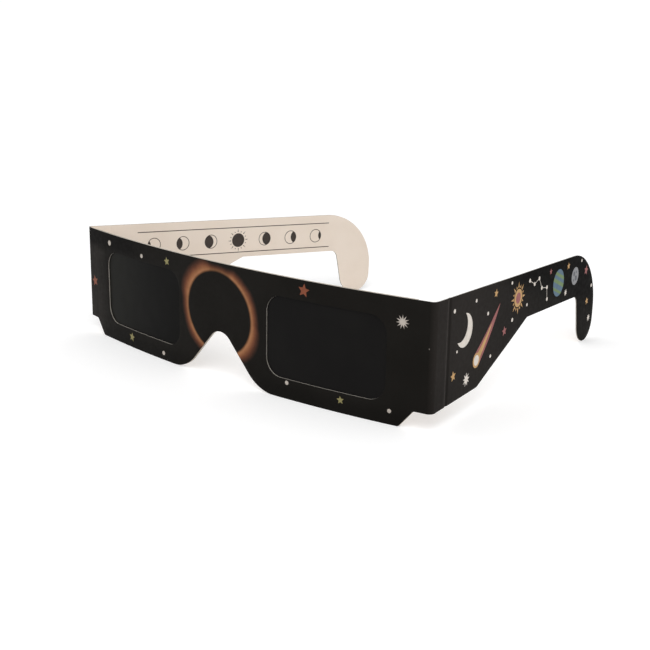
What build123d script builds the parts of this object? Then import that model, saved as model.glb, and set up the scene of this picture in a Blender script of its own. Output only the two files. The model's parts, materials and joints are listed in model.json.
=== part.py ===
from build123d import *
import os
from math import asin, atan2, cos, radians, sin, sqrt

# Card eclipse glasses. X runs across the face, Y runs back along the temples and Z is up.
# The origin is on the ground, in the middle of the whole part's box.

# Sheet thicknesses
card_thickness = 0.45
film_thickness = 0.1
clearance = 0.05

# Front
front_height = 35.0
bow_radius = 350.0
bow_half_length = 70.5
corner_height = 5.0
step_width = 3.8
chamfer_width = 4.2
corner_radius = 1.0

# Nose notch
nose_height = 14.6
nose_peak_radius = 5.2
nose_flare_radius = 13.0
nose_foot_distance = 2.95  # from the window's inner edge out to where the notch opens

# Windows
window_gap = 36.6
window_end_border = 12.0
window_bottom_border = 5.8
window_top_border = 5.7
window_radius = 5.2
film_margin = 3.0

# Folds
fold_radius = 1.6
fold_turn_angle = 190.0

# Temples, with the lengths measured along their top edge from the fold
right_temple_angle = 98.5
left_temple_angle = 105.0
temple_droop_angle = 2.5
temple_length = 114.1
arm_width = 13.8
ramp_start = 26.0
ramp_start_rise = 1.65
ramp_end = 57.6
ramp_radius = 2.0
hook_width = 16.0
hook_corner_radius = 3.0
hook_straight = 3.1
hook_tip_radius = 6.8
score_distance = 6.2
score_width = 0.6
score_depth = 0.12

# Worked out from the sizes above
half_turn = bow_half_length / bow_radius
arc_shares = (0, 0.5, 1)
cut_depth = bow_radius * (1 - cos(half_turn)) + fold_radius
step_x = bow_radius * sin(half_turn) - step_width
chamfer_x = step_x - chamfer_width
window_inner_x = window_gap / 2
window_outer_x = bow_radius * sin(half_turn) - window_end_border
window_bottom = window_bottom_border
window_top = front_height - window_top_border
fold_inner_radius = fold_radius - card_thickness
liner_depth = card_thickness + film_thickness
droop = radians(temple_droop_angle)


# A point on the bowed front, at a radius of the bow and an angle from the middle.
def bow_point(radius, turn):
    return (radius * sin(turn), bow_radius - radius * cos(turn))


# A ring-shaped wall between two radii, from three plan points on each.
def wall(outer, inner, bottom, top):
    with BuildPart() as part:
        with BuildSketch(Plane.XY.offset(bottom)):
            with BuildLine():
                ThreePointArc(*outer)
                Line(outer[-1], inner[-1])
                ThreePointArc(*inner)
                Line(inner[0], outer[0])
            make_face()
        extrude(amount=top - bottom)
    return part.part


# A bowed sheet that lies at a depth behind the front's outer face.
def sheet(depth, thickness):
    arcs = [[bow_point(radius, turn) for turn in (-half_turn, 0, half_turn)]
            for radius in (bow_radius - depth, bow_radius - depth - thickness)]
    return wall(*arcs, 0, front_height)


# The layers' outline, cut straight back through the bow. side_x is where the layer ends.
# The notch's straight side touches the peak's circle and the flare's circle.
def outline(side_x, windows):
    foot_x = window_inner_x + nose_foot_distance
    drop = nose_height - nose_peak_radius - nose_flare_radius
    side = asin((nose_peak_radius + nose_flare_radius) / sqrt(foot_x ** 2 + drop ** 2)) + atan2(drop, foot_x)
    peak_x = nose_peak_radius * sin(side)
    peak_z = nose_height - nose_peak_radius * (1 - cos(side))
    flare_x = foot_x - nose_flare_radius * sin(side)
    flare_z = nose_flare_radius * (1 - cos(side))
    middle_x = foot_x - nose_flare_radius * sin(side / 2)
    middle_z = nose_flare_radius * (1 - cos(side / 2))
    corners = [(chamfer_x, 0), (step_x, corner_height)]
    ends = [(side_x, corner_height), (side_x, front_height)] if side_x > step_x else [(step_x, front_height)]
    with BuildPart() as part:
        with BuildSketch(Plane.XZ) as sketch:
            with BuildLine():
                ThreePointArc((-peak_x, peak_z), (0, nose_height), (peak_x, peak_z))
                for way in (-1, 1):
                    Line((way * peak_x, peak_z), (way * flare_x, flare_z))
                    ThreePointArc((way * flare_x, flare_z), (way * middle_x, middle_z), (way * foot_x, 0))
                    Polyline(*[(way * x, z) for x, z in [(foot_x, 0)] + corners + ends])
                Line((-side_x, front_height), (side_x, front_height))
            make_face()
            fillet([v for v in sketch.vertices() for x, z in corners
                    if (Vector(abs(v.X), v.Y) - Vector(x, z)).length < clearance], corner_radius)
            if windows:
                with Locations(*window_middles()):
                    RectangleRounded(*window_size(0), window_radius, mode=Mode.SUBTRACT)
        extrude(amount=-cut_depth)
    return part.part


def window_middles():
    middle = (window_inner_x + window_outer_x) / 2
    height = (window_bottom + window_top) / 2
    return (middle, height), (-middle, height)


def window_size(margin):
    return window_outer_x - window_inner_x + 2 * margin, window_top - window_bottom + 2 * margin


# The film is a plain rectangle between the two cards, larger than the window all round.
def film(margin):
    with BuildPart() as part:
        with BuildSketch(Plane.XZ):
            with Locations(window_middles()[0]):
                Rectangle(*window_size(margin))
        extrude(amount=-cut_depth)
    return sheet(card_thickness, film_thickness) & part.part


# The adhesive fills the space round the films.
def glue_layer():
    layer = sheet(card_thickness, film_thickness) & outline(step_x, False)
    pocket = film(film_margin + clearance)
    return layer - pocket - pocket.mirror(Plane.YZ)


# The temple turns on the middle of the fold's curve.
axis_x, axis_y = bow_point(bow_radius - fold_radius, half_turn)


def fold():
    start = half_turn - radians(90)
    turns = [start + radians(fold_turn_angle) * share for share in arc_shares]
    arcs = [[(axis_x + radius * cos(turn), axis_y + radius * sin(turn)) for turn in turns]
            for radius in (fold_radius, fold_inner_radius)]
    return wall(*arcs, corner_height, front_height)


# A point on the temple after the droop, which turns it about the top of the fold.
def drooped(along, height):
    below = height - front_height
    return (along * cos(droop) + below * sin(droop), front_height - along * sin(droop) + below * cos(droop))


# The right temple. The tip of its hook is as low as the front.
def temple(angle):
    turn = radians(angle)
    outward = (sin(turn), -cos(turn), 0)
    plane = Plane(origin=(axis_x, axis_y, 0), x_dir=(cos(turn), sin(turn), 0), z_dir=outward)
    arm_bottom = front_height - arm_width
    tip_x = temple_length - hook_tip_radius
    tip_z = front_height - (front_height - hook_tip_radius - tip_x * sin(droop)) / cos(droop)
    bend_z = tip_z + hook_straight
    bend_radius = front_height - bend_z
    bend_x = temple_length - bend_radius
    half = bend_radius * sqrt(1 / 2)
    hook_corner = (temple_length - hook_width, arm_bottom)
    reach = sqrt((tip_x - hook_corner[0]) ** 2 + (tip_z - arm_bottom) ** 2)
    lean = asin((tip_x - hook_corner[0]) / reach) - asin(hook_tip_radius / reach)
    tangent = (tip_x - hook_tip_radius * cos(lean), tip_z - hook_tip_radius * sin(lean))
    ramp = [(ramp_end, arm_bottom), (ramp_start, corner_height + ramp_start_rise)]
    with BuildPart() as part:
        with BuildSketch(plane.offset(fold_inner_radius)) as sketch:
            with BuildLine():
                Line((0, front_height), drooped(bend_x, front_height))
                ThreePointArc(drooped(bend_x, front_height), drooped(bend_x + half, bend_z + half),
                              drooped(temple_length, bend_z))
                Line(drooped(temple_length, bend_z), drooped(temple_length, tip_z))
                ThreePointArc(drooped(temple_length, tip_z), drooped(tip_x, tip_z - hook_tip_radius),
                              drooped(*tangent))
                Polyline(drooped(*tangent), drooped(*hook_corner), *[drooped(*point) for point in ramp],
                         (0, corner_height), (0, front_height))
            make_face()
            rounded = (ramp[0], ramp_radius), (ramp[1], ramp_radius), (hook_corner, hook_corner_radius)
            for point, radius in rounded:
                corner = sketch.vertices().sort_by_distance(drooped(*point))[0]
                fillet(corner, radius)
        extrude(amount=card_thickness)
        with BuildSketch(plane.offset(fold_radius - score_depth)):
            with Locations((score_distance, front_height / 2)):
                Rectangle(score_width, front_height)
        extrude(amount=score_depth, mode=Mode.SUBTRACT)
        with Locations((axis_x, axis_y, front_height / 2)):
            Cylinder(fold_radius + clearance, front_height, mode=Mode.SUBTRACT)
    return part.part


parts = {
    "front_card": sheet(0, card_thickness) & outline(bow_half_length, True),
    "front_liner": sheet(liner_depth, card_thickness) & outline(step_x, True),
    "glue_layer": glue_layer(),
    "film_right": film(film_margin),
    "film_left": film(film_margin).mirror(Plane.YZ),
    "fold_right": fold(),
    "fold_left": fold().mirror(Plane.YZ),
    "temple_right": temple(right_temple_angle),
    "temple_left": temple(left_temple_angle).mirror(Plane.YZ),
}

# Everything moves forward together, so that the origin is in the middle of the part's box.
back = max(solid.bounding_box().max.Y for solid in parts.values())
front = min(solid.bounding_box().min.Y for solid in parts.values())
shift = (back + front) / 2

os.makedirs("parts", exist_ok=True)
for name, solid in parts.items():
    solid = solid.moved(Location((0, -shift, 0)))
    export_step(solid, f"parts/{name}.step")
    box = solid.bounding_box()
    print(name, len(solid.solids()), round(solid.volume, 1), box.min, box.max)
print("shift", shift, "fold axis", axis_x, axis_y - shift)
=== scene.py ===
import json
from math import acos, asin, atan2, cos, hypot, pi, radians, sin, tan
import bmesh
import bpy
from mathutils import Matrix, Vector, noise


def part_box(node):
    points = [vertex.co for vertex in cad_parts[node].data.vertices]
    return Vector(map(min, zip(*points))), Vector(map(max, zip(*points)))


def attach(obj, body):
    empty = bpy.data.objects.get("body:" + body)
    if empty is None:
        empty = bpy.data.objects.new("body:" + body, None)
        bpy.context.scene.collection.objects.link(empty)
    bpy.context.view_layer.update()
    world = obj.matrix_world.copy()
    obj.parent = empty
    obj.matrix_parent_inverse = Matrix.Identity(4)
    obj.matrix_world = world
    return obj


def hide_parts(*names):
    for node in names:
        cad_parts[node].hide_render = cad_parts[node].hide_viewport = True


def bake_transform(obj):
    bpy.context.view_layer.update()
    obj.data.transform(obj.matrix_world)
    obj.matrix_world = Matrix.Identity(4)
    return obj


# Card eclipse glasses. Shapes are worked out in millimetres on the flat sheet, then bent.
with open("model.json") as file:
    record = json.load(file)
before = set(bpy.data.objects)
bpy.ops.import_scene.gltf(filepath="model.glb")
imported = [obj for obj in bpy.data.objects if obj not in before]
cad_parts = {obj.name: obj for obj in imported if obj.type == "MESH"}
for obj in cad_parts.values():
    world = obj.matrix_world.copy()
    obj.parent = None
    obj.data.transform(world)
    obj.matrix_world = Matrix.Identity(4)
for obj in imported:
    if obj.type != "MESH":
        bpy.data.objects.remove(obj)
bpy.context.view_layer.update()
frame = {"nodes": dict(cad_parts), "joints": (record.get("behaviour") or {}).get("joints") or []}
mm = 0.001
scene = bpy.context.scene


def sizeOf(node):
    low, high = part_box(node)
    return low / mm, high / mm


card = {
    "thickness": 0.45,
    "filmThickness": 0.1,
    "edgeRound": 0.06,
    "edgeSteps": 2,
    "cornerSteps": 10,  # straight lengths in a rounded corner
    "weld": 0.002,      # points of a fresh outline nearer than this become one
    "sliver": 0.005,    # and so do the points of a cut sheet
    "flatAngle": 0.5,   # faces that meet within this become one
    "edgeNormal": 0.9,  # a face less upright than this is part of the cut edge
    "sharpAngle": 17,
    "bendStep": 2.0,    # between the cuts that let the front bend
    "heightStep": 6.0,
    "overrun": 1.0,     # past a fold, cut off again so that the seam stays flush
}
bow = {"radius": 350.0, "halfLength": 70.5}
fold = {"radius": 1.6, "stepAngle": 3.0, "usualAngle": 90.0}

# What the frame gives
frontLow, frontHigh = sizeOf("front_card")
linerHigh = sizeOf("front_liner")[1]
filmLow, filmHigh = sizeOf("film_right")
foldLow = sizeOf("fold_right")[0]
frontHeight = frontHigh.z
frontEnd = frontHigh.x
stepX = linerHigh.x
cornerHeight = foldLow.z
bowCentre = Vector((0, frontLow.y + bow["radius"], 0))
halfTurn = bow["halfLength"] / bow["radius"]
hinge = {j["name"]: Vector(j["pos_m"]) / mm for j in frame["joints"]}
sides = {"right": 1, "left": -1}
linerDepth = card["thickness"] + card["filmThickness"]

# Where a temple starts on the flat sheet, measured from the middle of the front, for its print
templeStart = bow["halfLength"] + fold["radius"] * radians(fold["usualAngle"])


# Materials

midNoise = (0.3, 0.7)  # nearly all of a noise lies between these


# Gives a node's inputs numbers, colours or links.
def feed(tree, node, inputs):
    for key, value in inputs.items():
        socket = node.inputs[key]
        if isinstance(value, bpy.types.NodeSocket):
            tree.links.new(value, socket)
        else:
            socket.default_value = (*value, 1) if socket.type == "RGBA" else value


def newNode(tree, kind, inputs={}, **settings):
    node = tree.nodes.new("ShaderNode" + kind)
    for name, value in settings.items():
        setattr(node, name, value)
    feed(tree, node, inputs)
    return node


def newMaterial(name, look):
    material = bpy.data.materials.new(name)
    material.use_nodes = True
    tree = material.node_tree
    feed(tree, tree.nodes["Principled BSDF"], {"Specular IOR Level": look["specular"]})
    return material, tree


def mathNode(tree, operation, a, b=None, clamp=False):
    inputs = {0: a} if b is None else {0: a, 1: b}
    return newNode(tree, "Math", inputs, operation=operation, use_clamp=clamp).outputs[0]


def times(tree, value, *others):
    for other in others:
        value = mathNode(tree, "MULTIPLY", value, other)
    return value


# Goes smoothly from one value to another while the input goes from low to high.
def spread(tree, value, low, high, outLow=0.0, outHigh=1.0):
    inputs = {"Value": value, "From Min": low, "From Max": high,
              "To Min": outLow, "To Max": outHigh}
    return newNode(tree, "MapRange", inputs, interpolation_type="SMOOTHSTEP").outputs["Result"]


# A soft line, 1 at a place and 0 past its half width.
def lineAt(tree, along, place, halfWidth):
    away = mathNode(tree, "ABSOLUTE", mathNode(tree, "SUBTRACT", along, place))
    return spread(tree, away, 0.0, halfWidth, 1.0, 0.0)


def mixColour(tree, factor, a, b, blend="MIX"):
    inputs = {0: factor, 6: a, 7: b}
    return newNode(tree, "Mix", inputs, data_type="RGBA", blend_type=blend).outputs[2]


# Lays tones over a colour, each as strongly as its share.
def overlay(tree, colour, layers):
    for share, tone in layers:
        colour = mixColour(tree, share, colour, tone)
    return colour


# Where a point was on the flat sheet: along it, up it and into it
def sheetPlace(tree):
    vector = newNode(tree, "Attribute", attribute_name="sheetPlace").outputs["Vector"]
    return vector, newNode(tree, "SeparateXYZ", {0: vector}).outputs


def grain(tree, vector, look):
    if "stretch" in look:
        inputs = {"Vector": vector, "Scale": look["stretch"]}
        vector = newNode(tree, "Mapping", inputs).outputs["Vector"]
    inputs = {"Vector": vector, "Scale": look["scale"], "Detail": look["detail"],
              "Roughness": look.get("roughness", 0.55)}
    return newNode(tree, "TexNoise", inputs).outputs["Fac"]


def mottle(tree, vector, look):
    return spread(tree, grain(tree, vector, look), *look["range"])


def relief(tree, vector, look):
    return grain(tree, vector, look), look["bump"]


# A bump is a height, with its depth in millimetres and its strength.
def dress(tree, colour, roughness, bumps):
    normal = {}
    for height, (depth, strength) in bumps:
        inputs = {"Height": height, "Distance": depth * mm, "Strength": strength, **normal}
        normal = {"Normal": newNode(tree, "Bump", inputs).outputs["Normal"]}
    feed(tree, tree.nodes["Principled BSDF"],
         {"Base Color": colour, "Roughness": roughness, **normal})


inks = {
    # painted shade, along the front's top and foot and at the top of the hook
    "paintedShade": (0.0026, 0.0021, 0.0018),
    "black": (0.0084, 0.0075, 0.0064),
    "blackHigh": (0.0112, 0.0101, 0.0088),
    # painted sheen, at the front's left end and by the folds
    "paintedSheen": (0.026, 0.0225, 0.0205),
    # worn print at the fold, and the painted highlight along the score
    "wornAndHighlight": (0.050, 0.044, 0.040),
    "gold": (0.255, 0.226, 0.097),
    "coral": (0.222, 0.067, 0.034),
    "white": (0.49, 0.44, 0.39),
    "bright": (0.86, 0.79, 0.71),
    "amber": (0.62, 0.37, 0.15),
    "rose": (0.36, 0.12, 0.115),
    "blue": (0.10, 0.175, 0.25),
    "green": (0.17, 0.26, 0.11),
    "grey": (0.30, 0.30, 0.31),
    "greyDark": (0.13, 0.135, 0.15),
    "rust": (0.060, 0.048, 0.042),
}
printLook = {
    "slow": {"scale": 0.035, "detail": 2, "range": (0.33, 0.66)},
    "fine": {"scale": 0.5, "detail": 4, "range": (0.35, 0.75, 0.0, 0.25)},
    "gloss": {"scale": 0.7, "detail": 5, "range": (*midNoise, 0.50, 0.62)},
    "uneven": {"scale": 0.11, "detail": 2, "bump": (0.5, 0.25)},
    "fibre": {"scale": 3.2, "detail": 5, "roughness": 0.6, "bump": (0.010, 0.3)},
}


# The black ground of the print: a slow mottle and a fine one.
def blackGround(tree, vector):
    slow, fine = (mottle(tree, vector, printLook[key]) for key in ("slow", "fine"))
    colour = mixColour(tree, slow, inks["black"], inks["blackHigh"])
    return mixColour(tree, fine, colour, inks["black"])


# Satin, with the fibres of the card just showing through.
def finishPrint(tree, vector, colour):
    bumps = [relief(tree, vector, printLook[key]) for key in ("uneven", "fibre")]
    dress(tree, colour, mottle(tree, vector, printLook["gloss"]), bumps)


halo = {
    "centre": (-0.75, 20.05),
    "radius": 12.5,
    "stretch": (1.047, 0.953),    # along and across the way it leans
    "lean": -22.0,
    "rise": (-0.2, 0.85),         # from the disc's edge out to the brightest line
    "width": 3.5,                 # from the disc's edge to where the light ends
    "widthShares": (0.94, 1.06),  # how the width wanders
    "wander": {"scale": 0.16, "detail": 3},
    "streaks": {"scale": 0.45, "detail": 4, "range": (*midNoise, 0.82, 1.0)},
    "lobes": [                    # direction, more width, more light, where it starts and is full
        (138, 1.35, 0.02, 0.82, 0.97),
        (87, -0.8, -0.44, 0.91, 0.99),
        (187, -0.3, -0.14, 0.93, 0.99),
        (-32, 0.85, 0.10, 0.88, 0.985),
        (32, 0.15, 0.00, 0.88, 0.98),
    ],
    "ramp": [
        (0.00, (0.340, 0.150, 0.068)),
        (0.18, (0.340, 0.150, 0.068)),
        (0.34, (0.245, 0.096, 0.043)),
        (0.51, (0.145, 0.050, 0.025)),
        (0.68, (0.070, 0.024, 0.013)),
        (0.84, (0.026, 0.010, 0.006)),
        (1.00, (0.000, 0.000, 0.000)),
    ],
}


# A ring of light round a dark disc. Its width and strength change with direction.
def addHalo(tree, colour, vector, place):
    x = mathNode(tree, "SUBTRACT", place["X"], halo["centre"][0])
    z = mathNode(tree, "SUBTRACT", place["Y"], halo["centre"][1])

    def toward(direction, scale=1.0):
        turn = radians(direction)
        sideways, upward = times(tree, x, cos(turn)), times(tree, z, sin(turn))
        return times(tree, mathNode(tree, "ADD", sideways, upward), scale)

    def distance(a, b):
        return mathNode(tree, "SQRT", mathNode(tree, "ADD", times(tree, a, a), times(tree, b, b)))

    direct = distance(x, z)
    radius = distance(toward(halo["lean"], 1 / halo["stretch"][0]),
                      toward(halo["lean"] + 90, 1 / halo["stretch"][1]))
    widths = [halo["width"] * share for share in halo["widthShares"]]
    width = spread(tree, grain(tree, vector, halo["wander"]), *midNoise, *widths)
    strength = mottle(tree, vector, halo["streaks"])
    for direction, wider, brighter, starts, full in halo["lobes"]:
        lobe = spread(tree, mathNode(tree, "DIVIDE", toward(direction), direct), starts, full)
        width = mathNode(tree, "ADD", width, times(tree, lobe, wider))
        strength = times(tree, strength, mathNode(tree, "ADD", 1.0, times(tree, lobe, brighter)))
    past = mathNode(tree, "SUBTRACT", radius, halo["radius"])
    share = mathNode(tree, "DIVIDE", past, width, clamp=True)
    ramp = newNode(tree, "ValToRGB", {"Fac": share})
    ramp.color_ramp.interpolation = "LINEAR"
    stops = ramp.color_ramp.elements
    for i, (at, tone) in enumerate(halo["ramp"]):
        stop = stops[i] if i < len(stops) else stops.new(at)
        stop.position = at
        stop.color = (*tone, 1)
    strength = times(tree, strength, spread(tree, past, *halo["rise"]))
    glow = mixColour(tree, strength, (0.0, 0.0, 0.0), ramp.outputs["Color"])
    return mixColour(tree, 1.0, colour, glow, blend="ADD")


frontPaintedLight = {
    "specular": 0.03,
    "paintedLeftSheen": (-65.5, -58.5, 1.0, 0.0),  # painted sheen
    "streaks": {"scale": 0.6, "detail": 4, "stretch": (2.2, 0.12, 1),
                "range": (0.35, 0.65, 0.35, 0.75)},
    "top": (27.6, 31.4),                  # painted shade along the top
    "topEnd": (-50.0, -28.0, 0.95, 0.0),  # but only towards the left end
    # painted shade along the foot
    "paintedFootShade": (2.0, 6.0, 0.35, 0.0),
}


# The front's print has painted shade along its top and foot, and painted sheen at its left end.
def frontPrintMaterial(name):
    material, tree = newMaterial(name, frontPaintedLight)
    vector, place = sheetPlace(tree)

    def over(value, key):
        return spread(tree, value, *frontPaintedLight[key])

    # Painted sheen at the left end, broken into streaks
    streaks = mottle(tree, vector, frontPaintedLight["streaks"])
    paintedLeftSheen = times(tree, over(place["X"], "paintedLeftSheen"), streaks)
    # Painted shade along the top towards the left end, and along the foot
    top = times(tree, over(place["Y"], "top"), over(place["X"], "topEnd"))
    colour = overlay(tree, blackGround(tree, vector), [
        (paintedLeftSheen, inks["paintedSheen"]), (top, inks["paintedShade"]), (over(place["Y"], "paintedFootShade"), inks["paintedShade"])])
    finishPrint(tree, vector, addHalo(tree, colour, vector, place))
    return material


# Places along the sheet are measured from the temple's root.
templeWearAndPaintedLight = {
    "specular": 0.015,
    "fade": (10.0, 80.0, 1.0, 0.0),      # painted sheen, strongest by the fold and gone from there back
    "pastScore": (7.0, 13.0, 0.93, 1.0),
    "fold": (-3.3, 0.0),                 # the painted sheen starts at the front's end, on the fold
    "foldFoot": (8.0, 17.0, 0.78, 1.0),  # and is weaker below
    "paintedShade": (27.5, 35.5, 0.0, 0.95),     # height above which the painted shade is deepest, less by the slope
    "deepAlong": (30.0, 50.0),
    "slope": 0.30,
    "slopeFrom": 45.0,
    "fibres": {"scale": 3.0, "detail": 5, "stretch": (1.6, 0.35, 1)},
    "paintedScoreHighlight": (5.3, 0.42),           # painted highlight: place and half width, on the fold's side of the score
    "lightFibres": (0.30, 0.55, 0.5, 0.95),
    # painted shade in the score's groove
    "paintedScoreShade": (6.7, 0.8),
    "paintedScoreShadeShare": 0.4,
    "cracks": (-1.3, 1.5),
    "crackFibres": (0.62, 0.76, 0.0, 0.6),
    "fleckAlong": (-2.5, 0.28),          # a worn point on the fold
    "fleckHeight": (22.6, 0.28),
    "fleckShare": 0.7,
}


# The folds' and temples' print has painted sheen by the fold, a scored line with a painted
# highlight and painted shade beside it, and painted shade at the top of the hook.
def sheetPrintMaterial(name):
    wearAndPaintedLight = templeWearAndPaintedLight
    material, tree = newMaterial(name, wearAndPaintedLight)
    vector, place = sheetPlace(tree)
    along, height = mathNode(tree, "SUBTRACT", place["X"], templeStart), place["Y"]
    fibres = grain(tree, vector, wearAndPaintedLight["fibres"])

    def over(value, key):
        return spread(tree, value, *wearAndPaintedLight[key])

    def line(value, key):
        return lineAt(tree, value, *wearAndPaintedLight[key])

    # Painted sheen by the fold
    paintedFoldSheen = times(tree, over(along, "fade"), over(along, "pastScore"), over(along, "fold"),
                     over(height, "foldFoot"))
    # Painted shade at the top of the hook
    slope = times(tree, mathNode(tree, "SUBTRACT", along, wearAndPaintedLight["slopeFrom"]), wearAndPaintedLight["slope"])
    paintedShade = times(tree, over(mathNode(tree, "ADD", height, slope), "paintedShade"), over(along, "deepAlong"))
    # Painted highlight along the score's edge, broken by the fibres
    light = times(tree, line(along, "paintedScoreHighlight"), over(fibres, "lightFibres"))
    # Painted shade in the score's groove
    dark = times(tree, line(along, "paintedScoreShade"), wearAndPaintedLight["paintedScoreShadeShare"])
    cracks = times(tree, line(along, "cracks"), over(fibres, "crackFibres"))
    fleck = times(tree, line(along, "fleckAlong"), line(height, "fleckHeight"), wearAndPaintedLight["fleckShare"])
    colour = overlay(tree, blackGround(tree, vector), [
        (paintedFoldSheen, inks["paintedSheen"]), (paintedShade, inks["paintedShade"]), (light, inks["wornAndHighlight"]),
        (dark, inks["black"]), (cracks, inks["wornAndHighlight"]), (fleck, inks["white"])])
    finishPrint(tree, vector, colour)
    return material


cream = {
    "specular": 0.25,
    "base": (0.85, 0.745, 0.645),
    "dark": (0.82, 0.71, 0.605),
    "fleck": (0.62, 0.50, 0.40),
    "mottle": {"scale": 0.09, "detail": 5, "range": (0.3, 0.75)},
    "flecks": {"scale": 1.9, "detail": 3, "stretch": (1, 2.4, 1), "range": (0.72, 0.80, 0.0, 0.22)},
    "uneven": {"scale": 0.1, "detail": 2, "bump": (0.5, 0.3)},
    "tooth": {"scale": 4.0, "detail": 6, "roughness": 0.65, "bump": (0.03, 0.5)},
    "gloss": (*midNoise, 0.8, 0.92),
}


# Uncoated card: soft mottle, pulp flecks and a fine tooth.
def creamCard(name):
    material, tree = newMaterial(name, cream)
    vector = sheetPlace(tree)[0]
    colour = mixColour(tree, mottle(tree, vector, cream["mottle"]), cream["base"], cream["dark"])
    colour = mixColour(tree, mottle(tree, vector, cream["flecks"]), colour, cream["fleck"])
    tooth = grain(tree, vector, cream["tooth"])
    dress(tree, colour, spread(tree, tooth, *cream["gloss"]),
          [relief(tree, vector, cream["uneven"]), (tooth, cream["tooth"]["bump"])])
    return material


cutLook = {
    "specular": 0.2,
    "skin": (0.03, 0.15, 1, 0),  # depth, less the ragged part, over which the print gives way
    "ragged": {"scale": 2.6, "detail": 5},
    "raggedDepth": 0.09,
    "core": (0.45, 0.42, 0.375),
    "coreDark": (0.26, 0.24, 0.21),
    "plies": {"scale": 1.4, "detail": 4, "stretch": (0.6, 0.6, 9), "range": midNoise},
    "tooth": {"scale": 5.0, "detail": 5, "bump": (0.03, 0.6)},
    "gloss": (*midNoise, 0.82, 0.95),
}


# The cut edge: the print's skin at the outside, then the pale core in thin plies.
def cutEdge(name, outside):
    material, tree = newMaterial(name, cutLook)
    vector, place = sheetPlace(tree)
    ragged = times(tree, grain(tree, vector, cutLook["ragged"]), cutLook["raggedDepth"])
    skin = spread(tree, mathNode(tree, "SUBTRACT", place["Z"], ragged), *cutLook["skin"])
    plies = mottle(tree, vector, cutLook["plies"])
    core = mixColour(tree, plies, cutLook["core"], cutLook["coreDark"])
    tooth = grain(tree, vector, cutLook["tooth"])
    dress(tree, mixColour(tree, skin, core, outside), spread(tree, tooth, *cutLook["gloss"]),
          [(tooth, cutLook["tooth"]["bump"])])
    return material


inkLook = {
    "specular": 0.12,
    "cloud": {"scale": 0.6, "detail": 3, "range": midNoise},
    "cloudShade": 0.86,
    "rub": {"scale": 1.6, "detail": 6, "roughness": 0.7},
    "rubbedThrough": (0.66, 0.76, 0, 0.5),
    "gloss": (*midNoise, 0.40, 0.55),
    "fibre": {"scale": 3.2, "detail": 5, "bump": (0.012, 0.45)},
}


def inkMaterial(name, colour):
    material, tree = newMaterial(name, inkLook)
    vector = sheetPlace(tree)[0]
    shade = tuple(c * inkLook["cloudShade"] for c in colour)
    rub = grain(tree, vector, inkLook["rub"])
    tone = mixColour(tree, mottle(tree, vector, inkLook["cloud"]), colour, shade)
    tone = mixColour(tree, spread(tree, rub, *inkLook["rubbedThrough"]), tone, inks["black"])
    dress(tree, tone, spread(tree, rub, *inkLook["gloss"]),
          [relief(tree, vector, inkLook["fibre"])])
    return material


filmLook = {
    "specular": 0.03,
    "base": (0.0078, 0.0073, 0.0072),
    "high": (0.0092, 0.0087, 0.0083),
    # the left film's colour and its deepest colour are painted shade
    "left": (0.0068, 0.0066, 0.0050),
    "paintedShade": (0.0036, 0.0034, 0.0034),
    "paintedLeftShade": (0.0, 4.0, 1.0, 0.0),
    "deepens": (-60.0, -28.0),  # painted shade grows along the left film, towards the nose
    "deepShare": 0.8,
    "cloud": {"scale": 0.05, "detail": 2, "range": midNoise},
    "ripple": {"scale": 0.07, "detail": 2, "bump": (0.8, 0.25)},
    "lines": {"scale": 1.1, "detail": 3, "stretch": (0.15, 2.5, 1), "bump": (0.001, 0.2)},
    "gloss": (*midNoise, 0.28, 0.34),
}


# Dark film: smooth, with faint drawing lines and a slow ripple. The left film has painted shade.
def filmMaterial(name):
    material, tree = newMaterial(name, filmLook)
    vector, place = sheetPlace(tree)
    cloud = mottle(tree, vector, filmLook["cloud"])
    # Painted shade on the left film, deepest towards the nose
    paintedLeftShade = spread(tree, place["X"], *filmLook["paintedLeftShade"])
    deepens = spread(tree, place["X"], *filmLook["deepens"])
    paintedShade = times(tree, deepens, paintedLeftShade, filmLook["deepShare"])
    colour = overlay(tree, mixColour(tree, cloud, filmLook["base"], filmLook["high"]), [
        (paintedLeftShade, filmLook["left"]), (paintedShade, filmLook["paintedShade"])])
    lines = grain(tree, vector, filmLook["lines"])
    dress(tree, colour, spread(tree, lines, *filmLook["gloss"]),
          [relief(tree, vector, filmLook["ripple"]), (lines, filmLook["lines"]["bump"])])
    return material


glueLook = {
    "specular": 0.4,
    "thin": (0.62, 0.56, 0.44),
    "thick": (0.42, 0.36, 0.26),
    "beads": {"scale": 900.0, "detail": 4, "bump": (0.05, 0.5)},
    "beadEdge": (0.35, 0.65),
    "gloss": (*midNoise, 0.35, 0.6),
}


def glueMaterial(name):
    material, tree = newMaterial(name, glueLook)
    beads = grain(tree, newNode(tree, "TexCoord").outputs["Object"], glueLook["beads"])
    share = spread(tree, beads, *glueLook["beadEdge"])
    dress(tree, mixColour(tree, share, glueLook["thin"], glueLook["thick"]),
          spread(tree, beads, *glueLook["gloss"]), [(beads, glueLook["beads"]["bump"])])
    return material


def titled(word):
    return word[0].upper() + word[1:]


frontPrint = frontPrintMaterial("satinPrintFront")
sheetPrint = sheetPrintMaterial("satinPrint")
creamFace = creamCard("creamCard")
printedEdge = cutEdge("printedCutEdge", inks["blackHigh"])
linerEdge = cutEdge("linerCutEdge", cream["base"])
filmFace = filmMaterial("solarFilm")
markInks = ("gold", "coral", "white", "bright", "amber", "rose", "blue", "green", "grey",
            "greyDark", "rust")
inkFaces = {name: inkMaterial("ink" + titled(name), inks[name]) for name in markInks}
print("materials ready")


# Outlines on the flat sheet

def arcPoints(centre, radius, start, end, steps):
    turns = [start + (end - start) * i / steps for i in range(steps + 1)]
    return [Vector((centre[0] + radius * cos(t), centre[1] + radius * sin(t))) for t in turns]


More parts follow.
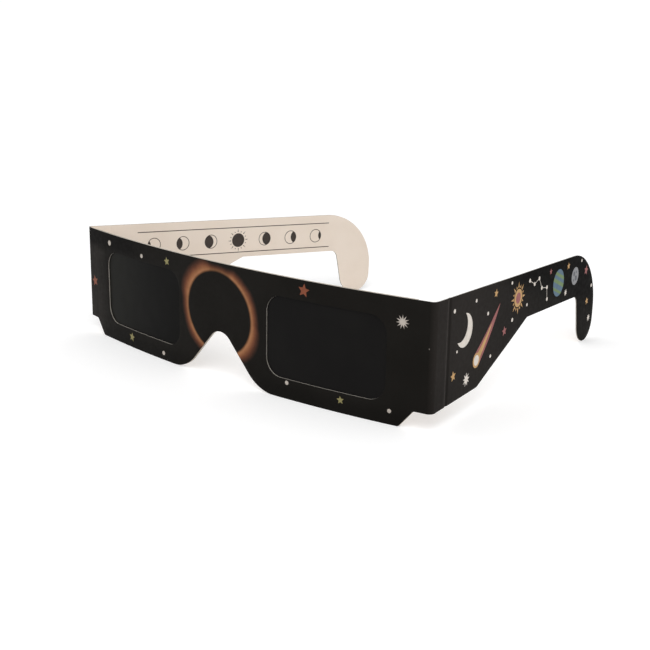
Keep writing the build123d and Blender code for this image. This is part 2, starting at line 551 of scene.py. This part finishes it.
# A closed outline from (x, y, radius) corners, each rounded to its radius.
def roundedOutline(corners):
    points = []
    for i, (x, y, radius) in enumerate(corners):
        here = Vector((x, y))
        if not radius:
            points.append(here)
            continue
        before = (Vector(corners[i - 1][:2]) - here).normalized()
        after = (Vector(corners[(i + 1) % len(corners)][:2]) - here).normalized()
        half = before.angle(after) / 2
        centre = here + (before + after).normalized() * radius / sin(half)
        startPoint, endPoint = here + before * radius / tan(half), here + after * radius / tan(half)
        start = atan2(startPoint.y - centre.y, startPoint.x - centre.x)
        turn = atan2(endPoint.y - centre.y, endPoint.x - centre.x) - start
        turn = (turn + pi) % (2 * pi) - pi
        points += arcPoints(centre, radius, start, start + turn, card["cornerSteps"])
    return points


nose = {"height": 14.6, "peakRadius": 5.2, "flareRadius": 13.0, "footDistance": 2.95}
window = {"filmMargin": 3.0, "radius": 5.2}
corner = {"chamferWidth": 4.2, "radius": 1.0}


# The notch's straight side touches the peak's circle and the flare's circle.
def frontOutline(sideX):
    footX = filmLow.x + window["filmMargin"] + nose["footDistance"]
    drop = nose["height"] - nose["peakRadius"] - nose["flareRadius"]
    bothRadii = nose["peakRadius"] + nose["flareRadius"]
    side = asin(bothRadii / hypot(footX, drop)) + atan2(drop, footX)
    baseX = footX - nose["flareRadius"] * tan(side / 2)
    apexZ = nose["height"] + nose["peakRadius"] * (1 / cos(side) - 1)
    half = [(baseX, 0, nose["flareRadius"]), (stepX - corner["chamferWidth"], 0, corner["radius"])]
    if sideX > stepX:
        half += [(stepX, cornerHeight, corner["radius"]), (sideX, cornerHeight, 0),
                 (sideX, frontHeight, 0)]
    else:
        half += [(stepX, cornerHeight, 0), (stepX, frontHeight, 0)]
    mirrored = [(-x, z, radius) for x, z, radius in reversed(half)]
    return roundedOutline([(0, apexZ, nose["peakRadius"])] + half + mirrored)


def windowOutlines():
    margin = Vector((1, 1)) * window["filmMargin"]
    low, high = filmLow.xz + margin, filmHigh.xz - margin
    outlines = []
    for way in sides.values():
        inner, outer = way * low.x, way * high.x
        corners = [(inner, low.y), (outer, low.y), (outer, high.y), (inner, high.y)]
        outlines.append(roundedOutline([(*point, window["radius"]) for point in corners]))
    return outlines


temple = {
    "angle": {"right": 98.5, "left": 105.0},
    "droopAngle": 2.5,
    "length": 114.1,
    "armWidth": 13.8,
    "rampStart": (26.0, 6.65),
    "rampEnd": 57.6,
    "rampRadius": 2.0,
    "hookWidth": 16.0,
    "hookCornerRadius": 3.0,
    "hookStraight": 3.1,
    "hookTipRadius": 6.8,
    "hookSteps": 20,
    "bendStep": 4.0,
    "heightStep": 7.0,
}


# The temple droops: its flat outline is turned about the top of the fold.
def templeOutline():
    droop = radians(temple["droopAngle"])

    def drooped(point):
        along, below = point[0], point[1] - frontHeight
        return Vector((along * cos(droop) + below * sin(droop),
                       frontHeight - along * sin(droop) + below * cos(droop)))

    length, tipRadius, hookSteps = temple["length"], temple["hookTipRadius"], temple["hookSteps"]
    armBottom = frontHeight - temple["armWidth"]
    tipX = length - tipRadius
    tipZ = frontHeight - (frontHeight - tipRadius - tipX * sin(droop)) / cos(droop)
    bendRadius = frontHeight - tipZ - temple["hookStraight"]
    bendCentre = (length - bendRadius, frontHeight - bendRadius)
    hookX = length - temple["hookWidth"]
    reach = hypot(tipX - hookX, tipZ - armBottom)
    lean = asin((tipX - hookX) / reach) - asin(tipRadius / reach)
    tip = arcPoints((tipX, tipZ), tipRadius, 0, lean - pi, hookSteps)
    bend = arcPoints(bendCentre, bendRadius, pi / 2, 0, hookSteps)
    inner = roundedOutline([(*tip[-1], 0), (hookX, armBottom, temple["hookCornerRadius"]),
                            (temple["rampEnd"], armBottom, temple["rampRadius"]),
                            (*temple["rampStart"], temple["rampRadius"]), (0, cornerHeight, 0)])
    back = -card["overrun"]
    return ([Vector((back, frontHeight))] + [drooped(p) for p in bend + tip + inner[1:-1]]
            + [Vector((0, cornerHeight)), Vector((back, cornerHeight))])


# Sheets

# The volume inside a closed shell, below 0 where its faces look inward.
def shellVolume(shell):
    origin = shell[0].verts[0].co.copy()
    volume = 0
    for face in shell:
        points = [vert.co - origin for vert in face.verts]
        volume += sum(points[0].dot(a.cross(b)) for a, b in zip(points[1:], points[2:]))
    return volume


# Every closed shell of the mesh gets faces that look outward.
def faceOutward(bm):
    bmesh.ops.recalc_face_normals(bm, faces=bm.faces)
    reached = set()
    for seed in bm.faces:
        if seed in reached:
            continue
        reached.add(seed)
        shell, waiting = [], [seed]
        while waiting:
            face = waiting.pop()
            shell.append(face)
            beside = [other for edge in face.edges for other in edge.link_faces]
            for other in dict.fromkeys(beside):
                if other not in reached:
                    reached.add(other)
                    waiting.append(other)
        if shellVolume(shell) < 0:
            bmesh.ops.reverse_faces(bm, faces=shell)
    bm.normal_update()


def dropSlivers(bm):
    bmesh.ops.remove_doubles(bm, verts=bm.verts, dist=card["sliver"])
    bmesh.ops.dissolve_degenerate(bm, edges=bm.edges, dist=card["sliver"])


# A flat sheet of card with rounded edges, from its outline and the outlines of its holes.
def cutSheet(name, outlines):
    curve = bpy.data.curves.new(name, "CURVE")
    curve.dimensions = "2D"
    curve.fill_mode = "BOTH"
    curve.extrude = card["thickness"] / 2 - card["edgeRound"]
    curve.bevel_depth = card["edgeRound"]
    curve.bevel_resolution = card["edgeSteps"]
    curve.offset = -card["edgeRound"]
    for points in outlines:
        spline = curve.splines.new("POLY")
        spline.points.add(len(points) - 1)
        for target, point in zip(spline.points, points):
            target.co = (point.x, point.y, 0, 1)
        spline.use_cyclic_u = True
    holder = bpy.data.objects.new(name, curve)
    scene.collection.objects.link(holder)
    finished = holder.evaluated_get(bpy.context.evaluated_depsgraph_get())
    mesh = bpy.data.meshes.new_from_object(finished)
    bpy.data.objects.remove(holder)
    bm = bmesh.new()
    bm.from_mesh(mesh)
    bpy.data.meshes.remove(mesh)
    bmesh.ops.remove_doubles(bm, verts=bm.verts, dist=card["weld"])
    faceOutward(bm)
    flat = radians(card["flatAngle"])
    bmesh.ops.dissolve_limit(bm, angle_limit=flat, verts=bm.verts, edges=bm.edges)
    return bm


def everythingIn(bm):
    return bm.verts[:] + bm.edges[:] + bm.faces[:]


def cutAway(bm, x, way):
    cut = bmesh.ops.bisect_plane(bm, geom=everythingIn(bm), plane_co=(x, 0, 0),
                                 plane_no=(way, 0, 0), clear_outer=True)
    edges = [item for item in cut["geom_cut"] if isinstance(item, bmesh.types.BMEdge)]
    bmesh.ops.edgeloop_fill(bm, edges=edges)


alongAxis, heightAxis = (1, 0, 0), (0, 1, 0)


def cutAcross(bm, places, axis=alongAxis):
    for place in places:
        point = Vector(axis) * place
        bmesh.ops.bisect_plane(bm, geom=everythingIn(bm), plane_co=point, plane_no=axis)


# Even places between two ends, about a step apart.
def stations(low, high, step):
    count = max(1, round((high - low) / step))
    return [low + (high - low) * i / count for i in range(1, count)]


def toObject(name, bm, materials):
    mesh = bpy.data.meshes.new(name)
    bm.to_mesh(mesh)
    bm.free()
    for material in materials:
        mesh.materials.append(material)
    piece = bpy.data.objects.new(name, mesh)
    scene.collection.objects.link(piece)
    return piece


# Bends the flat sheet with place(along, height, depth), and keeps where each point was on it.
# The materials are for the outer face, the inner face and the cut edge.
def finishSheet(name, bm, place, start, materials, thickness=card["thickness"]):
    dropSlivers(bm)
    faceOutward(bm)
    stored = bm.verts.layers.float_vector.new("sheetPlace")
    upright = card["edgeNormal"]
    for face in bm.faces:
        face.material_index = 0 if face.normal.z > upright else 1 if face.normal.z < -upright else 2
    for vert in bm.verts:
        along, height, depth = vert.co.x, vert.co.y, thickness / 2 - vert.co.z
        vert[stored] = (start + along, height, depth)
        vert.co = place(along, height, depth) * mm
    faceOutward(bm)
    for face in bm.faces:
        face.smooth = True
    sharp = radians(card["sharpAngle"])
    for edge in bm.edges:
        edge.smooth = len(edge.link_faces) == 2 and edge.calc_face_angle() < sharp
    return toObject(name, bm, materials)


def noiseAt(along, height, look, seed):
    return noise.noise(Vector((along / look["length"], height / look["heightLength"], seed)))


# A slow unevenness of the card, shared by the layers of the front.
wave = {"depth": 0.16, "length": 38.0, "heightLength": 38.0, "seed": 0.3, "endFade": 14.0}


def waveAt(along, height):
    fade = min(1.0, max(0.0, (frontEnd - abs(along)) / wave["endFade"]))
    return wave["depth"] * fade * noiseAt(along, height, wave, wave["seed"])


def onFront(along, height, depth):
    turn = asin(along / bow["radius"])
    radius = bow["radius"] - depth - waveAt(along, height)
    return Vector((radius * sin(turn), bowCentre.y - radius * cos(turn), height))


def onLiner(along, height, depth):
    return onFront(along, height, depth + linerDepth)


def makeFront():
    windows = windowOutlines()
    bm = cutSheet("frontCard", [frontOutline(frontEnd + card["overrun"])] + windows)
    for way in sides.values():
        cutAway(bm, way * frontEnd, way)
    cutAcross(bm, stations(-frontEnd, frontEnd, card["bendStep"]))
    cutAcross(bm, stations(0, frontHeight, card["heightStep"]), heightAxis)
    front = finishSheet("frontCard", bm, onFront, 0, [frontPrint, creamFace, printedEdge])
    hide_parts("front_card")

    bm = cutSheet("frontLiner", [frontOutline(stepX)] + windows)
    cutAcross(bm, stations(-stepX, stepX, card["bendStep"]))
    cutAcross(bm, stations(0, frontHeight, card["heightStep"]), heightAxis)
    liner = finishSheet("frontLiner", bm, onLiner, 0, [creamFace, creamFace, linerEdge])
    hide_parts("front_liner")
    for piece in (front, liner):
        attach(piece, "front")


# Each film is slack inside its window and flat where the cards hold it.
slack = {
    "depth": 0.14,
    "middle": 0.5,
    "columns": 46,
    "rows": 30,
    "length": 17.0,
    "heightLength": 30.0,
    "seed": 5.0,
}


def makeFilm(side):
    thickness = card["filmThickness"]
    bm = bmesh.new()
    bmesh.ops.create_grid(bm, x_segments=slack["columns"], y_segments=slack["rows"], size=0.5)
    middle, spanSize = (filmLow + filmHigh) / 2, filmHigh - filmLow
    centre = (sides[side] * middle.x, middle.z, thickness / 2)
    bmesh.ops.scale(bm, verts=bm.verts, vec=(spanSize.x, spanSize.z, 1))
    bmesh.ops.translate(bm, verts=bm.verts, vec=centre)
    bmesh.ops.solidify(bm, geom=bm.faces, thickness=thickness)

    def place(along, height, depth):
        inX = 1 - (abs(abs(along) - middle.x) / (spanSize.x / 2 - window["filmMargin"])) ** 2
        inZ = 1 - (abs(height - middle.z) / (spanSize.z / 2 - window["filmMargin"])) ** 2
        loose = max(0.0, inX) * max(0.0, inZ)
        ripple = slack["middle"] + noiseAt(along, height, slack, slack["seed"])
        return onFront(along, height, depth + card["thickness"] + slack["depth"] * loose * ripple)

    film = finishSheet(side + "Film", bm, place, 0, [filmFace] * 3, thickness)
    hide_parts("film_" + side)
    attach(film, "front")


# Where a fold's curve starts and ends, turned from the way that its side faces
def foldTurns(side):
    return halfTurn - pi / 2, radians(temple["angle"][side]) - pi / 2


def onFold(side):
    start = foldTurns(side)[0]
    axis = hinge[side + "_fold"]

    def place(along, height, depth):
        turn = start + along / fold["radius"]
        radius = fold["radius"] - depth
        x, y = sides[side] * radius * cos(turn), radius * sin(turn)
        return Vector((axis.x + x, axis.y + y, height))
    return place


def makeFold(side):
    start, end = foldTurns(side)
    length = (end - start) * fold["radius"]
    low, high = -card["overrun"], length + card["overrun"]
    corners = [(low, cornerHeight), (high, cornerHeight), (high, frontHeight), (low, frontHeight)]
    bm = cutSheet(side + "Bend", [[Vector(point) for point in corners]])
    cutAway(bm, 0, -1)
    cutAway(bm, length, 1)
    cutAcross(bm, stations(0, length, fold["radius"] * radians(fold["stepAngle"])))
    place = onFold(side)
    bend = finishSheet(side + "Bend", bm, place, bow["halfLength"],
                       [sheetPrint, creamFace, printedEdge])
    ends = [place(along, frontHeight / 2, card["thickness"]) * mm for along in (0, length)]
    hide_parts("fold_" + side)
    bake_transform(bend)


score = {"along": 6.2, "halfWidth": 0.85, "depth": 0.18, "roundness": 1.5, "steps": 6}
curl = {
    "depth": 0.35,
    "start": 12.0,
    "full": 45.0,
    "length": 46.0,
    "heightLength": 46.0,
    "seed": 2.0,
}


def templeWave(along, height, seed):
    rise = min(1.0, max(0.0, (along - curl["start"]) / (curl["full"] - curl["start"])))
    rise = rise * rise * (3 - 2 * rise)
    return curl["depth"] * rise * noiseAt(along, height, curl, seed)


def onTemple(side):
    angle = radians(temple["angle"][side])
    axis = hinge[side + "_fold"]
    way = sides[side]

    def place(along, height, depth):
        inDent = max(0.0, 1 - ((along - score["along"]) / score["halfWidth"]) ** 2)
        dent = inDent ** score["roundness"] * score["depth"]
        out = fold["radius"] - depth - dent - templeWave(along, height, curl["seed"] + way)
        x = along * cos(angle) + out * sin(angle)
        y = along * sin(angle) - out * cos(angle)
        return Vector((axis.x + way * x, axis.y + y, height))
    return place


def makeTemple(side):
    bm = cutSheet(side + "Temple", [templeOutline()])
    cutAway(bm, 0, -1)
    cutAcross(bm, stations(0, temple["length"], temple["bendStep"]))
    steps = score["steps"]
    fine = [score["halfWidth"] * i / steps for i in range(-steps, steps + 1)]
    cutAcross(bm, [score["along"] + away for away in fine])
    cutAcross(bm, stations(0, frontHeight, temple["heightStep"]), heightAxis)
    piece = finishSheet(side + "Temple", bm, onTemple(side), templeStart,
                        [sheetPrint, creamFace, printedEdge])
    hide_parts("temple_" + side)
    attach(piece, side + "_temple")


makeFront()
for side in sides:
    makeFilm(side)
    makeFold(side)
    makeTemple(side)
glueNode = frame["nodes"]["glue_layer"]
glueNode.data.materials.clear()
glueNode.data.materials.append(glueMaterial("dryGlue"))
print("card pieces ready")


# Printed motifs, as thin films of ink that follow the card. Each shape is a list of flat outlines.

# How many straight lengths the round shapes have
drawing = {
    "disc": 36,
    "frontDot": 20,
    "dot": 18,
    "small": 16,
    "crescent": (30, 24),  # round the outside and round the bite
    "band": 6,
    "tail": 14,
    "ring": 32,
    "lens": 16,
}


def discShape(radius, count=drawing["disc"]):
    return [arcPoints((0, 0), radius, 0, 2 * pi * (1 - 1 / count), count - 1)]


def starShape(points, outer, innerShare):
    radii = (outer, outer * innerShare)
    return [[Vector((0, 1)) @ Matrix.Rotation(-pi * i / points, 2) * radii[i % 2]
             for i in range(2 * points)]]


# The bite is a smaller circle, moved along by a share of the radius.
def crescentShape(radius, bite, biteShare):
    outerSteps, innerSteps = drawing["crescent"]
    reach = acos(bite / 2 + (1 - biteShare ** 2) / (2 * bite))
    outer = arcPoints((0, 0), radius, reach, 2 * pi - reach, outerSteps)
    start = atan2(radius * sin(reach), radius * (cos(reach) - bite))
    inner = arcPoints((radius * bite, 0), radius * biteShare, 2 * pi - start, start, innerSteps)
    return [outer + inner[1:-1]]


# The part of a disc between two heights, as shares of the radius.
def bandShape(radius, low, high):
    left = arcPoints((0, 0), radius, pi - asin(high), pi - asin(low), drawing["band"])
    right = arcPoints((0, 0), radius, asin(low), asin(high), drawing["band"])
    return [left + right]


def tailShape(length, width, sway, taper):
    upper, lower = [], []
    for i in range(drawing["tail"]):
        share = i / drawing["tail"]
        half = width * (1 - share) ** taper / 2
        middle = length * sway * share * share
        upper.append(Vector((length * share, middle + half)))
        lower.append(Vector((length * share, middle - half)))
    return [upper + [Vector((length, length * sway))] + list(reversed(lower))]


# Every second ray is half as long.
def rayShapes(count, inner, outer, width):
    shapes = []
    for i in range(count):
        turn = Matrix.Rotation(2 * pi * i / count, 2)
        reach = outer if i % 2 == 0 else (inner + outer) / 2
        ray = ((inner, -width / 2), (reach, 0), (inner, width / 2))
        shapes.append([turn @ Vector(point) for point in ray])
    return shapes


def lineShape(end, width):
    across = end.orthogonal().normalized() * width / 2
    return [[across, end + across, end - across, -across]]


def ringShape(radius, width):
    count = drawing["ring"]
    shapes = []
    for i in range(count):
        a, b = 2 * pi * i / count, 2 * pi * (i + 1) / count
        outer = arcPoints((0, 0), radius, a, b, 1)
        shapes.append(outer + arcPoints((0, 0), radius - width, b, a, 1))
    return shapes


# Where two discs overlap, with one moved by a share of the radius.
def lensShape(radius, shift):
    if not shift:
        return discShape(radius)
    steps = drawing["lens"]
    reach = acos(abs(shift) / 2)
    way = 0 if shift > 0 else pi
    first = arcPoints((0, 0), radius, way - reach, way + reach, steps)
    second = arcPoints((shift * radius, 0), radius, way + pi - reach, way + pi + reach, steps)
    return [first + second[1:-1]]


def mark(shapes, place, turn=0, layer=0):
    return shapes, place, turn, layer


ink = {"proud": 0.018, "layer": 0.012, "sunk": 0.03, "piece": 4.0, "digits": 4}


# Corners that lie together become one, so that the outlines of a mark join up.
def cornerAt(bm, made, point):
    key = (round(point.x, ink["digits"]), round(point.y, ink["digits"]))
    if key not in made:
        made[key] = bm.verts.new((point.x, point.y, -ink["sunk"]))
    return made[key]


def printMarks(name, inkName, marks, place, start, body, inside=False):
    bm = bmesh.new()
    stored = bm.verts.layers.float_vector.new("sheetPlace")
    for shapes, (x, height), turnAngle, layer in marks:
        turn = Matrix.Rotation(radians(turnAngle), 2)
        made = {}
        base = []
        for points in shapes:
            flat = [cornerAt(bm, made, turn @ point + Vector((x, height))) for point in points]
            base.append(bm.faces.new(list(dict.fromkeys(flat))))
        raised = bmesh.ops.extrude_face_region(bm, geom=base)["geom"]
        top = [item for item in raised if isinstance(item, bmesh.types.BMVert)]
        lift = ink["sunk"] + ink["proud"] + ink["layer"] * layer
        bmesh.ops.translate(bm, verts=top, vec=(0, 0, lift))
    low, high = min(v.co.x for v in bm.verts), max(v.co.x for v in bm.verts)
    cutAcross(bm, stations(low, high, ink["piece"]))
    bmesh.ops.dissolve_degenerate(bm, edges=bm.edges, dist=card["sliver"])
    bmesh.ops.triangulate(bm, faces=[face for face in bm.faces if len(face.verts) > 4])
    for vert in bm.verts:
        along, height, out = vert.co
        depth = card["thickness"] + out if inside else -out
        vert[stored] = (start + along, height, 0)
        vert.co = place(along, height, depth) * mm
    faceOutward(bm)
    piece = toObject(name, bm, [inkFaces[inkName]])
    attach(piece, body)


# Places are along the sheet and up it. Stars have a size and a turn, and dots a radius.
frontMarks = {
    "gold": [(-24.2, 31.6, 1.35, 10), (-44.2, 3.4, 1.5, -8), (44.3, 3.7, 1.2, 6)],
    "coral": [(-67.4, 17.4, 1.9, 12), (31.6, 32.2, 1.95, -6)],
    "dots": [(-56.5, 32.0, 0.85), (-37.5, 31.0, 0.65), (-26.6, 2.2, 0.68), (26.0, 4.8, 0.62),
             (59.4, 3.8, 0.58)],
    "burst": {"place": (62.4, 28.6), "size": 1.92, "points": 11, "inner": 0.42},
}
star = {"points": 5, "inner": 0.47}


def starMarks(rows):
    return [mark(starShape(star["points"], size, star["inner"]), (x, z), turn)
            for x, z, size, turn in rows]


def dotMarks(rows, count):
    return [mark(discShape(radius, count), (x, z)) for x, z, radius in rows]


def printFront():
    for colour in ("gold", "coral"):
        name = "front" + titled(colour) + "Stars"
        printMarks(name, colour, starMarks(frontMarks[colour]), onFront, 0, "front")
    burst = frontMarks["burst"]
    marks = dotMarks(frontMarks["dots"], drawing["frontDot"])
    marks.append(mark(starShape(burst["points"], burst["size"], burst["inner"]), burst["place"]))
    printMarks("frontWhiteMarks", "white", marks, onFront, 0, "front")


# The temple's own night sky: moon, comet, sun, linked stars, banded planet and a cratered moon
sky = {
    "crescent": {"place": (15.4, 24.0), "size": 4.7, "turn": 150, "bite": 0.62, "biteShare": 0.92},
    "comet": {
        "head": (23.6, 13.6),
        "turn": 38,
        "sway": 0.12,
        "taper": 0.75,
        "core": 1.512,
        "glow": 2.142,
        "outerTail": (19.0, 4.41),
        "innerTail": (12.54, 2.415),
    },
    "sun": {
        "place": (49.5, 26.0),
        "size": 2.7,
        "middle": 1.674,
        "cap": 0.99,
        "rays": (16, 3.1, 4.9, 0.85),
    },
    "links": [(57.5, 29.6), (61.2, 27.9), (64.6, 29.0), (67.0, 25.6), (71.0, 25.0), (71.6, 21.2)],
    "linkDot": 0.62,
    "linkLine": 0.16,
    "planet": {
        "place": (80.5, 24.6),
        "size": 4.3,
        "turn": -22,
        "bands": ((0.42, 0.66), (-0.12, 0.16), (-0.7, -0.5)),
    },
    "moon": {
        "place": (94.5, 24.2),
        "size": 2.9,
        "craters": ((-0.35, 0.3, 0.26), (0.3, 0.42, 0.16), (0.28, -0.28, 0.3),
                    (-0.4, -0.42, 0.15), (-0.02, -0.02, 0.1)),
    },
    "amberStars": [(9.8, 12.6, 1.5, 8), (34.2, 30.4, 1.3, -10), (88.2, 28.6, 1.2, 5),
                   (106.8, 13.4, 1.3, 14)],
    "roseStars": [(41.0, 18.0, 1.5, 6), (104.2, 24.4, 1.7, -12), (73.6, 29.4, 1.0, 0)],
    "bursts": [(17.8, 9.6, 2.0), (87.0, 20.2, 1.2), (109.4, 7.2, 1.3)],
    "burstPoints": 9,
    "burstInner": 0.45,
    "dots": [(9.0, 30.6, 0.6), (21.8, 30.8, 0.5), (29.6, 25.6, 0.55), (32.6, 12.6, 0.5),
             (44.6, 31.4, 0.5), (46.0, 20.2, 0.6), (56.2, 22.6, 0.5), (99.6, 28.4, 0.5),
             (110.0, 18.2, 0.6), (11.4, 19.0, 0.4)],
}


def brightMarks():
    crescent, comet, links = sky["crescent"], sky["comet"], sky["links"]
    moonShape = crescentShape(crescent["size"], crescent["bite"], crescent["biteShare"])
    marks = [mark(moonShape, crescent["place"], crescent["turn"]),
             mark(discShape(comet["core"]), comet["head"], layer=2)]
    marks += [mark(starShape(sky["burstPoints"], size, sky["burstInner"]), (x, z))
              for x, z, size in sky["bursts"]]
    marks += dotMarks(sky["dots"], drawing["dot"])
    marks += [mark(discShape(sky["linkDot"], drawing["small"]), place, layer=1) for place in links]
    marks += [mark(lineShape(Vector(b) - Vector(a), sky["linkLine"]), a)
              for a, b in zip(links, links[1:])]
    return marks


def cometTail(part, layer):
    comet = sky["comet"]
    shape = tailShape(*comet[part], comet["sway"], comet["taper"])
    return mark(shape, comet["head"], comet["turn"], layer)


# The marks of a temple by ink. A higher layer lies over a lower one.
def skyMarks():
    comet, sun, planet, moon = (sky[name] for name in ("comet", "sun", "planet", "moon"))
    moonX, moonZ = moon["place"]
    craters = [mark(discShape(moon["size"] * size, drawing["small"]),
                    (moonX + moon["size"] * x, moonZ + moon["size"] * z), layer=1)
               for x, z, size in moon["craters"]]
    return {
        "bright": brightMarks(),
        "rose": [cometTail("outerTail", 0)] + starMarks(sky["roseStars"])
                + [mark(bandShape(sun["middle"], -sun["cap"], sun["cap"]), sun["place"], layer=1)],
        "amber": [mark(discShape(sun["size"]), sun["place"]),
                  mark(rayShapes(*sun["rays"]), sun["place"]), cometTail("innerTail", 1),
                  mark(discShape(comet["glow"]), comet["head"], layer=1)]
                 + starMarks(sky["amberStars"]),
        "blue": [mark(discShape(planet["size"]), planet["place"])],
        "green": [mark(bandShape(planet["size"], *band), planet["place"], planet["turn"], 1)
                  for band in planet["bands"]],
        "grey": [mark(discShape(moon["size"]), moon["place"])],
        "greyDark": craters,
    }


def printTemple(side):
    for inkName, marks in skyMarks().items():
        name = side + "Temple" + titled(inkName) + "Marks"
        printMarks(name, inkName, marks, onTemple(side), templeStart, side + "_temple")


# Inside the left temple: a row of small discs for the stages of an eclipse, between two rules
stages = {
    "first": 22.0,
    "gap": 11.0,
    "height": 27.4,
    "radius": 2.5,
    "fill": 2.475,
    "line": 0.22,
    "shifts": (-1.5, -1.05, -0.6, 0, 0.6, 1.05, 1.5),
    "rays": (16, 3.0, 4.125, 0.35),
    "rule": 0.28,
    "ruleHeights": (4.6, -4.4),
    "ruleOverhang": 6.0,
}


def printStages():
    droop = tan(radians(temple["droopAngle"]))

    def placeAt(along, up=0.0):
        return Vector((along, stages["height"] + up - along * droop))

    marks = []
    for i, shift in enumerate(stages["shifts"]):
        place = placeAt(stages["first"] + i * stages["gap"])
        marks.append(mark(ringShape(stages["radius"], stages["line"]), place))
        marks.append(mark(lensShape(stages["fill"], shift), place, layer=1))
        if not shift:
            marks.append(mark(rayShapes(*stages["rays"]), place))
    last = stages["first"] + (len(stages["shifts"]) - 1) * stages["gap"]
    for up in stages["ruleHeights"]:
        start = placeAt(stages["first"] - stages["ruleOverhang"], up)
        end = placeAt(last + stages["ruleOverhang"], up)
        marks.append(mark(lineShape(end - start, stages["rule"]), start))
    printMarks("leftTempleInsideMarks", "rust", marks, onTemple("left"), templeStart,
               "left_temple", inside=True)


printFront()
for side in sides:
    printTemple(side)
printStages()
print("prints ready")


# Floor, lights and camera

studio = {
    "floorSize": 6.0,
    "floorSquares": 8,
    "floorColour": 0.86,
    "floorRoughness": 0.9,
    "floorSpecular": 0.1,
    "floorGlow": 0.26,       # only as it is seen, so that it reads as white and keeps its shadow
    "whitens": (0.35, 0.9),  # metres from the middle, over which the floor turns into plain white
    "worldStrength": 0.66,
    "brightest": 1.04,
}
lamps = {
    "key": {"place": (0.35, -0.55, 0.75), "size": 0.7, "power": 4.0},
    "left": {"place": (-0.75, -0.35, 0.30), "size": 0.45, "power": 0.7},
    "back": {"place": (-0.30, 0.80, 0.60), "size": 0.6, "power": 0.7},
}
view = {
    "lens": 63.16,
    "sensor": 36.0,
    "clipStart": 0.01,
    "place": (234.683, -279.123, 105.64),
    "azimuth": 41.555,
    "elevation": 15.487,
    "roll": 0.96,
}


# 1 for what the camera sees, directly, in a reflection or through a clear surface.
def seenDirectly(tree):
    path = newNode(tree, "LightPath").outputs
    seen = mathNode(tree, "ADD", path["Is Camera Ray"], path["Is Glossy Ray"])
    return mathNode(tree, "ADD", seen, path["Is Transmission Ray"], clamp=True)


def makeFloor():
    bm = bmesh.new()
    squares = studio["floorSquares"]
    bmesh.ops.create_grid(bm, x_segments=squares, y_segments=squares, size=studio["floorSize"] / 2)
    material, tree = newMaterial("paleFloor", {"specular": studio["floorSpecular"]})
    coords = newNode(tree, "TexCoord").outputs["Object"]
    away = newNode(tree, "VectorMath", {0: coords}, operation="LENGTH").outputs["Value"]
    far = spread(tree, away, *studio["whitens"])
    seen = seenDirectly(tree)
    shader = tree.nodes["Principled BSDF"]
    feed(tree, shader, {
        "Base Color": (studio["floorColour"],) * 3,
        "Roughness": studio["floorRoughness"],
        "Emission Color": (1, 1, 1),
        "Emission Strength": times(tree, seen, studio["floorGlow"]),
    })
    white = newNode(tree, "Emission", {"Strength": studio["brightest"]})
    shares = {0: times(tree, far, seen), 1: shader.outputs[0], 2: white.outputs[0]}
    blend = newNode(tree, "MixShader", shares)
    feed(tree, tree.nodes["Material Output"], {"Surface": blend.outputs[0]})
    toObject("floor", bm, [material])


def makeWorld():
    world = bpy.data.worlds.new("studio")
    scene.world = world
    world.use_nodes = True
    tree = world.node_tree
    extra = times(tree, seenDirectly(tree), studio["brightest"] - studio["worldStrength"])
    strength = mathNode(tree, "ADD", extra, studio["worldStrength"])
    feed(tree, tree.nodes["Background"], {"Color": (1, 1, 1), "Strength": strength})


def makeLamps():
    for name, lamp in lamps.items():
        data = bpy.data.lights.new(name, "AREA")
        data.shape = "SQUARE"
        data.size = lamp["size"]
        data.energy = lamp["power"]
        holder = bpy.data.objects.new(name, data)
        scene.collection.objects.link(holder)
        holder.location = lamp["place"]
        holder.rotation_euler = (-Vector(lamp["place"])).to_track_quat("-Z", "Y").to_euler()


def makeCamera():
    data = bpy.data.cameras.new("photoView")
    data.lens = view["lens"]
    data.sensor_width = view["sensor"]
    data.clip_start = view["clipStart"]
    camera = bpy.data.objects.new("photoView", data)
    scene.collection.objects.link(camera)
    around, above, roll = (radians(view[key]) for key in ("azimuth", "elevation", "roll"))
    right = Vector((cos(around), sin(around), 0))
    forward = Vector((-sin(around) * cos(above), cos(around) * cos(above), -sin(above)))
    up = right.cross(forward)
    rolledRight, rolledUp = right * cos(roll) + up * sin(roll), up * cos(roll) - right * sin(roll)
    turn = Matrix((rolledRight, rolledUp, -forward)).transposed().to_4x4()
    camera.matrix_world = Matrix.Translation(Vector(view["place"]) * mm) @ turn
    scene.camera = camera


makeFloor()
makeWorld()
makeLamps()
makeCamera()
scene.view_settings.view_transform = "Standard"
print("studio ready")
